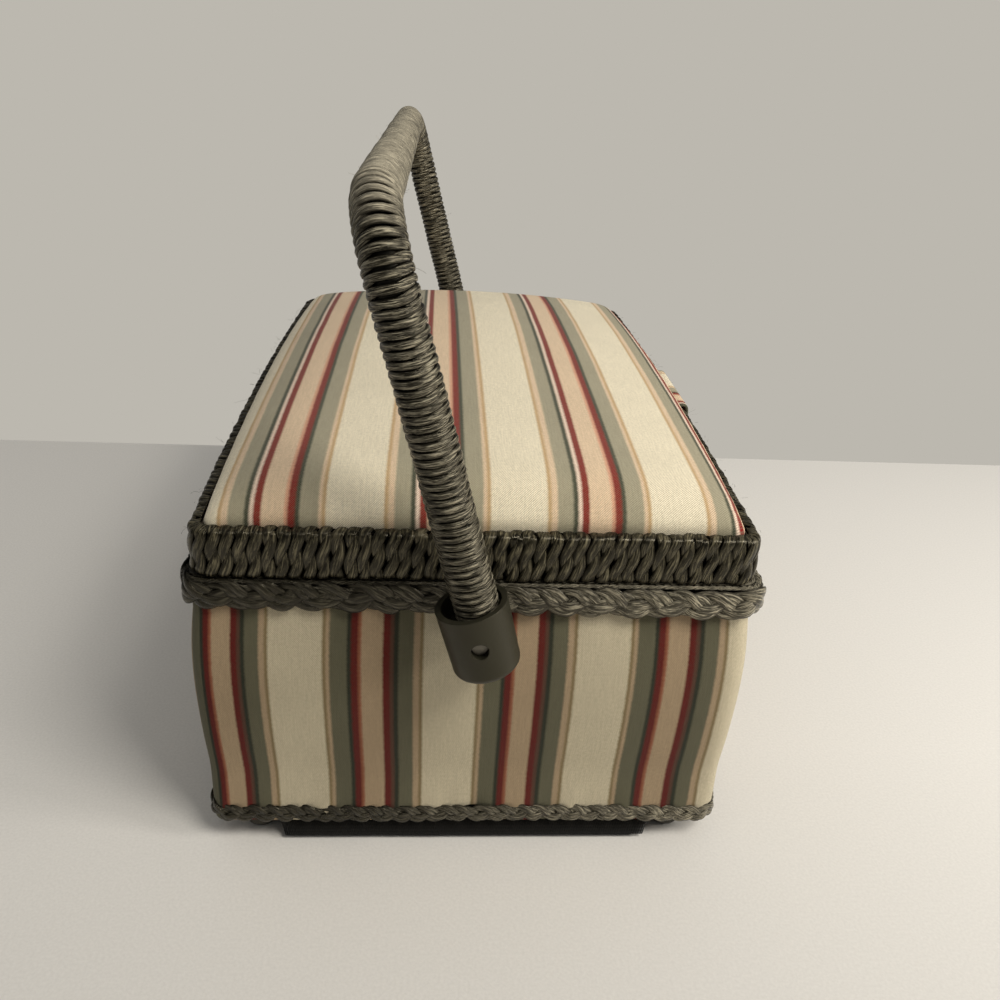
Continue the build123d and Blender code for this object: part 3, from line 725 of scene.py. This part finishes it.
def plait(material, shadow, name, node, walls, strand, pitch, thick, low, high, tilt, seed):
    """Three-strand plait laid round the covered walls; each strand is a twisted bundle of fibres. tilt is
    how much the plait falls towards +X, and only a tilted one has edging above it."""
    surface = Surface()
    depth = 0.29 * thick
    lift = 0.5 * thick - depth
    middle = grown(walls, 0.5 * thick)
    middle_w = middle[0]
    length = ring_length(*middle)
    periods, rolls = round(length / pitch), round(length / (0.7 * pitch))
    rows = int(length / (pitch / 36))  # points to a repeat
    s = length * np.arange(rows) / rows
    swing = (high - low - strand) / 2
    ground, normal = ring(*middle, s)
    out = lifted(normal)
    drift = 0.3 * loop_noise(s / length, 9, seed) - tilt * ground[:, 0] / middle_w
    # where the plait's ends meet, at the near right corner, it stands up and out a little
    corner = bell(s - middle_w + 2, 8) * tilt
    drift += 1.6 * corner
    outwards = 0.6 * tilt * ground[:, 0] / middle_w + 0.6 * corner
    for k in range(3):
        uneven = 0.3 * loop_noise(s / length, 23, seed + 5 + k)
        turn = TURN * (periods * s / length + k / 3) + uneven
        over = -np.sin(2 * turn)
        z = (low + high) / 2 + swing * np.sin(turn) + drift
        centre = lifted(ground, z) + out * (lift * over + outwards)[:, None]
        heading = unit(np.gradient(np.concatenate([centre[-2:], centre, centre[:2]]), axis=0)[2:-2])
        across = unit(np.cross(out, heading))
        half = strand / 2 * (1 + 0.07 * loop_noise(s / length, 37, seed + 9 + k)) * (0.93 + 0.13 * over)
        thickness = depth * (1 + 0.12 * over)
        roll = TURN * rolls * s / length + 0.5 * loop_noise(s / length, 31, seed + 12 + k) + 2.1 * k
        twisted_plies(surface, centre, across, out, half, thickness, roll, np.append(s, length))
    shown = chance.integers(0, rows, 140)
    shown = shown[np.abs(ground[shown, 0]) > 22]  # none where the sockets turn
    stray_fibres(surface, lifted(ground, (low + high) / 2 + drift)[shown] + out[shown] * depth, out[shown], 3)
    if tilt:
        top_edging(surface)
    edge = 0.45 * strand
    # behind the edging the near-black band of painted shade runs in over the top of the walls
    top, inner = (EDGING_Z - 0.05, -3.3) if tilt else (high - 1.0, 0.1)
    shade_band(name + "_shade_band", "basket", walls,
            [(0.1, low + edge), (0.3 * thick, low + edge), (0.3 * thick, top - 0.4), (0.1, top), (inner, top),
             (inner, top - 0.2), (0.1, top - 0.3)], shadow)
    surface.make(name, "basket", "cord", material, [node])


# ----- body cover
def swell(z, low, high):
    """How far the padded walls stand out at a height: fullest above the middle, drawn in near the foot."""
    share = np.clip((z - low) / (high - low), 0, 1)
    return 2.2 * np.sin(math.pi * share ** 1.7) - 0.5 * bell(z - low - 16, 10) * (share > 0)


def body_cover(material):
    """Padded striped cover round the four walls, pinched where the plaits hold it."""
    low, high = cad("body_cover")
    wall_w = WALLS[0]
    board = cad("bottom_board")[1]
    inner = board.x + 0.15, board.y + 0.15, 3.5
    swell_low, swell_high = cad("lower_braid")[1].z, cad("upper_braid")[0].z
    stud_z = middle_of("snap_stud").z
    columns = 720
    z_out = np.r_[low.z + 0.1, low.z + 0.5, np.linspace(low.z + 1.4, high.z - 1.6, 70), high.z - 0.7,
                  high.z - 0.15]
    length = ring_length(*WALLS)
    # the cloth's seam is at the far corner on the hinge side
    start = 0.5 * length + wall_w - 8
    share = np.arange(columns) / columns
    turn = start / length + share
    rows, along = [], []
    for z in z_out:
        out = swell(z, swell_low, swell_high) - (0.5 if z in (z_out[0], z_out[-1]) else 0.0)
        place, normal = round_ring(grown(WALLS, out), turn)
        middle = math.sin(math.pi * min(max((z - 12) / 100, 0), 1))
        wave = middle * (0.22 * loop_noise(share, 11, 3) + 0.12 * loop_noise(share, 31, 4))
        near_low = math.exp(-max(z - swell_low, 0) / 8)
        near_high = math.exp(-max(swell_high - z, 0) / 7)
        gather = loop_noise(share, 95, 8) * (0.2 * near_low + 0.16 * near_high)
        place = place + normal * (wave + gather)[:, None]
        # the cloth is drawn in at the foot, in the middle of the near end
        pinch = bell(place[:, 0] - 1.5, 4.5) * (place[:, 1] < -100) * math.exp(-max(z - 16, 0) / 7)
        place[:, 1] += 1.3 * pinch
        # the stud draws the padding in behind the tab
        near_stud = np.exp(-(place[:, 1] ** 2 + (z - stud_z) ** 2) / 60) * (place[:, 0] > 0.9 * wall_w)
        place[:, 0] -= near_stud * (place[:, 0] - wall_w + 0.3)
        rows.append(lifted(place, z))
        along.append(z)
    for z in (high.z - 0.1, high.z - 1.5, 0.5 * (low.z + high.z), low.z + 1.5, low.z + 0.05):
        rows.append(lifted(round_ring(inner, turn)[0], z))
        along.append(2 * high.z + 2.5 - z)
    surface = Surface()
    # distance across the cloth is 0 at the near end's middle; the pattern runs the other way from the lid's
    distance = start + np.append(share, 1) * length - length
    # and it is drawn closer towards the corner on the hinge side
    distance -= 0.0034 * np.clip(-60 - distance, 0, 40) ** 2
    surface.add(np.stack(rows), BODY_STRIPE_AT - distance, -np.append(along, along[-1] + 2), wrap_rows=True,
                wrap_columns=True)
    piece = surface.make("body_padding", "basket", "striped_fabric", material, ["body_cover"])


# ----- handle
WIND_PITCH = (2.35, 3.05, 2.7)  # at the sockets, at the bends and along the grip
WIND_R = 6.45  # middle of the wound cord from the tube's
LEAN = 15.0  # degrees from upright, towards the hinge side
HANDLE_RISE = 136.0  # from the pivots to the middle of the grip
HANDLE_BEND_R = 25.0
HANDLE_START = 4.6  # where the cord comes out of the sockets, above the pivots
LEG_OFFSET = 1.4


def handle_line():
    """Middle line of the handle with its tangents and the two directions across it."""
    pivot_z = middle_of("pivot_screws").z
    leg = -middle_of("handle_socket_near").y
    straight = HANDLE_RISE - HANDLE_BEND_R - HANDLE_START
    arc = math.pi / 2 * HANDLE_BEND_R
    legs = [(straight, 0), (arc, -90), (2 * (leg - HANDLE_BEND_R), 0), (arc, -90), (straight, 0)]
    flat, heading = path_of_legs((-leg, HANDLE_START), 90, legs, 0.6)
    lean = math.radians(LEAN)
    up = np.array([-math.sin(lean), 0, math.cos(lean)])
    side = np.array([math.cos(lean), 0, math.sin(lean)])
    ahead = np.array([0, 1.0, 0])
    origin = np.array([0, 0, pivot_z]) + LEG_OFFSET * side
    points = origin + flat[:, :1] * ahead + flat[:, 1:] * up
    tangent = np.cos(heading)[:, None] * ahead + np.sin(heading)[:, None] * up
    return points, tangent, np.tile(side, (len(points), 1)), np.cross(tangent, side), run_length(points)


def handle_cord(material):
    """Two-ply cord wound close round the handle's tube, its twist in step from turn to turn."""
    points, tangent, side, other, length = handle_line()
    leg = HANDLE_RISE - HANDLE_START
    ends = [0, leg, leg + 30, length[-1] - leg - 30, length[-1] - leg, length[-1]]
    socket, bend, grip = WIND_PITCH
    pitch = np.interp(length, ends, [socket, bend, grip, grip, bend, socket])
    wound = TURN * np.append(0, np.cumsum(np.diff(length) / pitch[1:]))
    rows = int(wound[-1] / TURN * 34)  # points to a turn
    s = np.linspace(0.2, length[-1] - 0.2, rows)
    centre, tangent, side, other = (resampled(a, length, s) for a in (points, tangent, side, other))
    theta = np.interp(s, length, wound)
    swell_by = np.interp(s, length, pitch) / 2.8
    radial = side * np.cos(theta)[:, None] + other * np.sin(theta)[:, None]
    surface = Surface()
    drift = 0.35 * smooth_noise(s / 23, 21) + 0.2 * smooth_noise(s / 4.1, 22)
    for ply in (0, math.pi):
        turn = 1.5 * theta + 0.9 + ply + drift
        middle = (centre + radial * (WIND_R + 0.4 * np.sin(turn))[:, None]
                  + tangent * (0.6 * swell_by * np.cos(turn))[:, None])
        plump = 1 + 0.12 * smooth_noise(s / 9.0, 23 + int(ply))
        width = swell_by * (1.0 + 0.38 * np.sin(turn)) * plump
        depth = (0.76 + 0.14 * np.sin(turn)) * plump
        surface.tube(tube_ring(middle, tangent, radial, width, depth, 8), WIND_R * theta)
    shown = chance.integers(0, rows, 170)
    stray_fibres(surface, (centre + radial * 7.2)[shown], radial[shown], 3)
    surface.make("handle_cord", "handle", "cord", material, ["handle_wrap"])


# ----- closure tab
def closure_tab(material):
    """Doubled cloth tab with a stitched hem, its stripes running down it."""
    low, high = cad("closure_tab")
    thick = 1.3
    hang = 0.5 * (cad("snap_stud")[1].x + cad("snap_cap")[1].x) - 0.9
    rim = cad("lid_rim_wrap")[1]
    side = rim.x + LID_BOW + 0.8
    knots = np.array([(rim.x - 1.6, rim.z + 0.5), (side - 2.6, rim.z + 0.9), (side - 0.7, rim.z + 0.1),
                      (side, rim.z - 3), (side + 0.2, rim.z - 10), (hang - 0.2, rim.z - 18),
                      (hang, rim.z - 26), (hang, low.z + 0.6)])
    line = smooth_line(knots, 90)
    heading = unit(np.gradient(line, axis=0))
    across = np.stack([-heading[:, 1], heading[:, 0]], -1)
    half = high.y
    # section of the strap: a little fuller inside its hem seam, with rounded long edges
    flat = np.linspace(-1, 1, 61)
    hem = 1 - 0.28 * bell(np.abs(flat) * half - half + 3.2, 0.5)
    y = np.r_[flat * (half - 0.4), half, half, flat[::-1] * (half - 0.4), -half, -half]
    t = thick * np.r_[0.5 * hem, 0.22, -0.22, -0.5 * hem, -0.22, 0.22]
    x, z = line[:, :1] + across[:, :1] * t, line[:, 1:] + across[:, 1:] * t
    points = np.stack([x, np.broadcast_to(y, x.shape), z], -1)
    length = run_length(line)
    surface = Surface()
    surface.add(points, closed(y) + half - 9.2, length, wrap_columns=True, caps=True)
    piece = surface.make("closure_strap", None, "striped_fabric", material, ["closure_tab"])
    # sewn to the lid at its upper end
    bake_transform(piece)


def smooth_line(knots, count):
    """Catmull-Rom line through the knots, evenly spaced."""
    ends = np.concatenate([[2 * knots[0] - knots[1]], knots, [2 * knots[-1] - knots[-2]]])
    line = []
    for k in range(1, len(ends) - 2):
        p0, p1, p2, p3 = ends[k - 1:k + 3]
        for t in np.linspace(0, 1, 24, endpoint=False):
            line.append(0.5 * (2 * p1 + (p2 - p0) * t + (2 * p0 - 5 * p1 + 4 * p2 - p3) * t ** 2
                               + (3 * p1 - p0 - 3 * p2 + p3) * t ** 3))
    line = np.array(line + [knots[-1]])
    length = run_length(line)
    return resampled(line, length, np.linspace(0, length[-1], count))


# ----- inside and underneath
QUILT_CELL = 32.0  # width of a diamond of the quilting


def plan_grid(low, high, inset, columns, rows):
    """x and y of a grid over a box seen from above."""
    return np.meshgrid(np.linspace(low.x + inset, high.x - inset, columns),
                       np.linspace(low.y + inset, high.y - inset, rows))


def quilted(name, node, body, material, face_up):
    """Stitched pad: one face is quilted in diamonds, and the other is flat."""
    low, high = cad(node)
    gx, gy = plan_grid(low, high, 0.25, 140, 220)
    a = np.abs(np.sin(math.pi * (gx + gy) / QUILT_CELL))
    b = np.abs(np.sin(math.pi * (gx - gy) / QUILT_CELL))
    puff = np.minimum(a, b) ** 0.5
    edge = np.minimum(np.minimum(gx - low.x, high.x - gx), np.minimum(gy - low.y, high.y - gy))
    puff = puff * np.clip(edge / 4, 0, 1) ** 0.5
    thick = high.z - low.z
    face = low.z + thick * (0.45 + 0.5 * puff) if face_up else high.z - thick * (0.45 + 0.5 * puff)
    back = np.full_like(gx, low.z + 0.04 if face_up else high.z - 0.04)
    top, bottom = (face, back) if face_up else (back, face)
    surface = slab(np.stack([gx, gy, bottom], -1), np.stack([gx, gy, top], -1), gx, gy, thick)
    piece = surface.make(name, body, "lining_fabric", material, [node])


def wall_lining(material):
    """Cloth that lines the four walls, eased in small folds, with a rolled top edge."""
    low, high = cad("body_lining")
    outer_w, outer_l, _ = high
    share = np.arange(600) / 600
    thick = 1.15
    profile = [(0.1, low.z + 0.1), (thick - 0.2, low.z + 0.4)]
    profile += [(thick, z) for z in np.linspace(low.z + 3, high.z - 3, 26)]
    profile += [(thick, high.z - 1.4), (thick * 0.7, high.z - 0.35), (thick * 0.3, high.z - 0.1),
                (0.1, high.z - 0.4), (0.08, high.z - 30), (0.08, low.z + 30)]
    fold = 0.28 * smooth_noise(TURN * share * 34, 41, 4)
    rows = []
    for inset, z in profile:
        place, normal = round_ring((outer_w - inset, outer_l - inset, 1.2), share)
        if inset == thick:
            folded = fold * math.sin(math.pi * (z - low.z) / (high.z - low.z))
            place = place + normal * np.clip(folded, -0.3, 0.05)[:, None]
        rows.append(lifted(place, z))
    along = run_length(profile)
    surface = Surface()
    surface.add(np.stack(rows), np.append(share, 1) * ring_length(outer_w, outer_l, 1.2),
                np.append(along, along[-1] + 2), wrap_rows=True, wrap_columns=True, flip=True)
    piece = surface.make("wall_lining", "basket", "lining_fabric", material, ["body_lining"])


BAG_LOW = 1.2  # height of the cloth's lowest part, hung down as painted shade under the basket
BAG_OUT = 7.0  # how far it bags out at the ends
FOOT_R = 8.0


def underside(material):
    """Dark cloth under the bottom, faintly wrinkled, held at its edges and round the feet. It is the real
    dark base cloth, and where it hangs and bags into view it is painted shade under the basket.
    """
    low, high = cad("base_cloth")
    gx, gy = plan_grid(low, high, 0.3, 90, 140)
    wrinkle = 0.5 + 0.5 * smooth_noise(gx / 9 + gy / 23, 51) * smooth_noise(gy / 13 - gx / 31, 52)
    z = low.z + 0.05 + 0.4 * np.clip(1 - wrinkle, 0, 1)
    # between the feet it hangs almost to the table, a dark sheet that fills the shade under the basket:
    # painted shade
    sag = ease((0.92 * high.x - np.abs(gx)) / 10) * ease((high.y - np.abs(gy)) / 3)
    foot = cad("feet")[1]
    away = np.hypot(np.abs(gx) - foot.x + FOOT_R, np.abs(gy) - foot.y + FOOT_R)
    drop = sag * ease((away - FOOT_R) / 3.5)
    z -= (low.z - BAG_LOW) * drop
    # and bags out under the plait at the two ends, filling more of that shade
    bagged = gy + np.sign(gy) * BAG_OUT * drop * ease((np.abs(gy) - high.y + 16) / 12)
    upper = np.stack([gx, gy, np.full_like(gx, high.z - 0.02)], -1)
    surface = slab(np.stack([gx, bagged, z], -1), upper, gx, gy, 0.8)
    piece = surface.make("underside_cloth", "basket", "base_cloth", material, ["base_cloth"])


# ----- stage and light
BACKDROP = srgb(188, 184, 175)
TABLE_END = 235.0  # where the pale table top ends, behind the basket
ROOM_LIGHT = 0.26  # level, before what is added along +X, +Y and +Z
ROOM_SLOPE = (-0.05, 0.2, 0.3)
GLOSS_LIGHT = 0.2  # share of that light in reflections


def add_stage():
    """Pale table top that ends behind the basket, before a plain backdrop."""
    bpy.ops.mesh.primitive_plane_add(size=8)
    floor = bpy.context.object
    floor.name = "floor"
    paper = Material("floor", roughness=0.6, specular=0.25)
    grain = paper.noise(paper.place(), 900, 3)
    ahead = paper.parts(paper.place())[1]
    pale = paper.mix(paper.spread(grain, 0.3, 0.7), srgb(212, 209, 203), srgb(220, 217, 211))
    # painted shade: the table is darker towards its near side
    paper.link(paper.mix(1.0, pale, paper.spread(ahead, -0.36, -0.1, 0.78, 1.0), "MULTIPLY"), "Base Color")
    paper.bump(grain, 0.05)
    beyond = paper.calc("GREATER_THAN", ahead, TABLE_END * MM)
    rays = paper.node("LightPath")
    seen = paper.times(beyond, rays.outputs["Is Camera Ray"])
    plain = paper.node("Emission", {"Color": BACKDROP, "Strength": 1.0})
    mix = paper.node("MixShader", {0: seen, 1: paper.shader.outputs[0], 2: plain.outputs[0]})
    paper.tree.links.new(mix.outputs[0], paper.tree.nodes["Material Output"].inputs[0])
    floor.data.materials.append(paper.data)


def add_room():
    """Soft light all round, brighter behind the basket and above it, and a plain backdrop."""
    world = bpy.data.worlds.new("world")
    bpy.context.scene.world = world
    world.use_nodes = True
    nodes = Nodes(world.node_tree)
    way = nodes.parts(nodes.node("TexCoord").outputs["Generated"])
    rays = nodes.node("LightPath").outputs
    strength = ROOM_LIGHT
    for socket, share in zip(way, ROOM_SLOPE):
        strength = nodes.calc("MULTIPLY_ADD", socket, share, strength)
    # and dim in reflections
    in_gloss = nodes.calc("MULTIPLY_ADD", rays["Is Glossy Ray"], GLOSS_LIGHT - 1, 1.0)
    strength = nodes.times(strength, in_gloss)
    light = nodes.tree.nodes["Background"]
    light.inputs[0].default_value = srgb(238, 237, 235)
    nodes.tree.links.new(strength, light.inputs[1])
    seen = nodes.node("Background", {0: BACKDROP})
    mix = nodes.node("MixShader", {0: rays["Is Camera Ray"], 1: light.outputs[0], 2: seen.outputs[0]})
    nodes.tree.links.new(mix.outputs[0], nodes.tree.nodes["World Output"].inputs[0])


def add_lamp(name, at, size, power, colour):
    """Square area lamp aimed at the basket."""
    data = bpy.data.lights.new(name, "AREA")
    data.energy = power
    data.size = size
    data.color = colour
    lamp = bpy.data.objects.new(name, data)
    bpy.context.scene.collection.objects.link(lamp)
    lamp.location = at
    aim = Vector((0, 0, 0.1)) - Vector(at)
    lamp.rotation_euler = aim.to_track_quat("-Z", "Y").to_euler()


# ----- everything
def dress(nodes, material):
    """Give CAD nodes that stay their finished mat."""
    for name in nodes:
        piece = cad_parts[name]
        piece.data.materials.clear()
        piece.data.materials.append(material)


add_camera()
add_stage()
add_room()
add_lamp("key", at=(0.6, -0.68, 1.15), size=0.48, power=11.4, colour=(1.0, 0.96, 0.89))
add_lamp("side", at=(0.8, -0.34, 0.48), size=0.2, power=3.9, colour=(1.0, 0.96, 0.9))

striped = cloth("striped_twill")
lining = cloth("lining_cloth", srgb(226, 216, 190), thread=0.5)
# near-black underside cloth: the base cloth's own dark colour, deepened as painted shade under the basket
dark_cloth = cloth("underside_cloth", srgb(13, 12, 10), thread=0.7, depth=0.15, mixed=0.02)
cord_dye = (srgb(11, 10, 7), srgb(29, 27, 19))
# the third colour is the painted highlight on the ply crests; pale paints the plait lighter towards +X and
# the grip lighter on top, a painted sheen
rim_dye = cord_material("rim_cord", *cord_dye, srgb(124, 116, 92))
plait_dye = cord_material("plait_cord", *cord_dye, srgb(206, 196, 168), pale=(0, -0.04, 0.08, 0.14, 0.12))
grip_dye = cord_material("grip_cord", *cord_dye, srgb(214, 204, 176), pale=(2, 0.232, 0.254, 0.7, 0.85))
# near-black cord for the bands behind the rim and the plaits: painted shade
shadow_cord = cord_material("painted_shadow_cord", srgb(16, 15, 11), srgb(20, 18, 14), srgb(26, 24, 18), 0.8, 0.05)
lid_pad(striped)
rim_cord(rim_dye, shadow_cord)
plait(plait_dye, shadow_cord, "upper_plait", "upper_braid", WALLS, strand=6.5, pitch=36.0, thick=3.6,
      low=104.9, high=117.1, tilt=0.9, seed=31)
plait(plait_dye, shadow_cord, "lower_plait", "lower_braid", WALLS_FOOT, strand=3.9, pitch=22.0, thick=2.4,
      low=9.7, high=18.0, tilt=0, seed=61)
# the walls' cloth is darkened overall and in its bands: painted shade
body_cover(cloth("striped_walls", thread=0.7, depth=0.09, shade_depth=1.2, mixed=0.13, painted_shade_level=0.77, shade_swaps=WALL_SHADED_COLOURS))
handle_cord(grip_dye)
closure_tab(striped)
quilted("floor_cushion", "floor_pad", "basket", lining, face_up=True)
quilted("lid_lining_pad", "lid_lining", "lid", lining, face_up=False)
wall_lining(lining)
underside(dark_cloth)

board = board_material("board", srgb(150, 122, 88), srgb(190, 164, 128))
dress(["end_walls", "side_wall_back", "side_wall_front", "bottom_board", "lid_board"], board)
# the lid frame is near-black where it shows between the cords: painted shade
dress(["lid_frame"], board_material("shade_dark_board", srgb(40, 34, 26), srgb(54, 47, 36)))
dress(["handle_socket_near", "handle_socket_far"], plastic("socket_plastic", srgb(32, 31, 22)))
dress(["feet"], plastic("foot_plastic", srgb(24, 23, 21)))
steel = metal("steel", srgb(190, 190, 186))
dress(["foot_tacks", "pivot_washers", "inner_washers", "pivot_nuts", "snap_stud", "snap_cap"], steel)
dress(["pivot_screws"], metal("dark_steel", srgb(120, 116, 106), 0.38))
dress(["handle_core"], metal("handle_tube", srgb(90, 88, 80), 0.5))
brass = metal("brass", srgb(202, 168, 100))
dress(["hinge_lower_leaves", "hinge_upper_leaves", "hinge_pins"], brass)
dress(["hinge_wall_screws", "hinge_lid_screws"], brass)

bpy.context.scene.view_settings.view_transform = "Standard"
